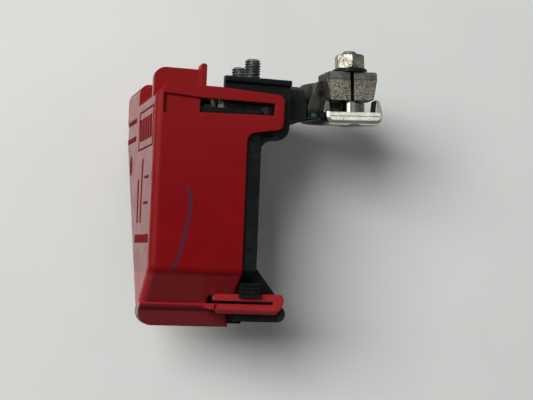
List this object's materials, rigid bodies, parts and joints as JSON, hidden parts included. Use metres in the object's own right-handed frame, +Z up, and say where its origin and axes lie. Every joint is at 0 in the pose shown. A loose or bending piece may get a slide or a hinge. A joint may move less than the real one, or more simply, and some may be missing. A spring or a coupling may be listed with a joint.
{
  "type": "battery terminal clamp",
  "caption": "Battery post clamp with a side-hung fused distribution box: ring and eared clamp, wedge saddle drawn up by a nut, cable stud tray and clip-on red cover.",
  "frame": {"origin": "axis of the post bore, in the underside of the clamp ring", "axes": "+Z up the battery post, -X towards the front of the box's cover, -Y towards the clamp bolt"},
  "size_m": [0.0914, 0.0608, 0.1017],
  "materials": {
    "tinned_casting": "tin-plated rough casting, dull grey",
    "bright_chrome": "bright plated steel",
    "dull_zinc": "dull zinc plating",
    "worn_nickel": "bright plating with pits",
    "dark_zinc": "dark zinc plating",
    "tinned_copper": "tin-plated copper strip",
    "black_moulding": "black glass-filled moulding, satin",
    "red_moulding": "red moulding, satin sides and glossier front",
    "fuse_moulding": "pale heatproof moulding",
    "fuse_metal": "stamped zinc alloy"
  },
  "bodies": {
    "clamp_and_box": {"clamp_body": "tinned_casting", "clamp_washer": "dull_zinc", "housing": "black_moulding", "main_busbar": "tinned_copper", "near_cable_stud": "dark_zinc", "far_cable_stud": "dark_zinc", "arm_rivet": "dark_zinc", "starter_stud": "dark_zinc", "near_fuse_body": "fuse_moulding", "near_fuse_link": "fuse_metal", "near_output_plate": "tinned_copper", "near_output_stud": "dark_zinc", "near_fuse_upper_stud": "dark_zinc", "near_fuse_upper_nut": "dull_zinc", "near_fuse_lower_stud": "dark_zinc", "near_fuse_lower_nut": "dull_zinc", "centre_fuse_body": "fuse_moulding", "centre_fuse_link": "fuse_metal", "centre_output_plate": "tinned_copper", "centre_output_stud": "dark_zinc", "centre_fuse_upper_stud": "dark_zinc", "centre_fuse_upper_nut": "dull_zinc", "centre_fuse_lower_stud": "dark_zinc", "centre_fuse_lower_nut": "dull_zinc"},
    "nut": {"clamp_nut": "worn_nickel"},
    "saddle": {"wedge_saddle": "bright_chrome", "clamp_bolt": "bright_chrome"},
    "cover": {"cover": "red_moulding"}
  },
  "joints": [
    {"name": "nut_turn", "type": "hinge", "parent": "clamp_and_box", "child": "nut", "pos_m": [0.0008, -0.0175, 0.0178], "axis": [0, 0, 1], "range_deg": [-361, 1801]},
    {"name": "saddle_lift", "type": "slide", "parent": "clamp_and_box", "child": "saddle", "axis": [0, 0, 1], "range_m": [-0.005, 0.001]},
    {"name": "cover_pull", "type": "slide", "parent": "clamp_and_box", "child": "cover", "axis": [-0.9986, 0, 0.0523], "range_m": [0, 0.06]}
  ],
  "couplings": [
    {"joint": "nut_turn", "follows": "saddle_lift", "rad_per_m": -6283.2}
  ]
}
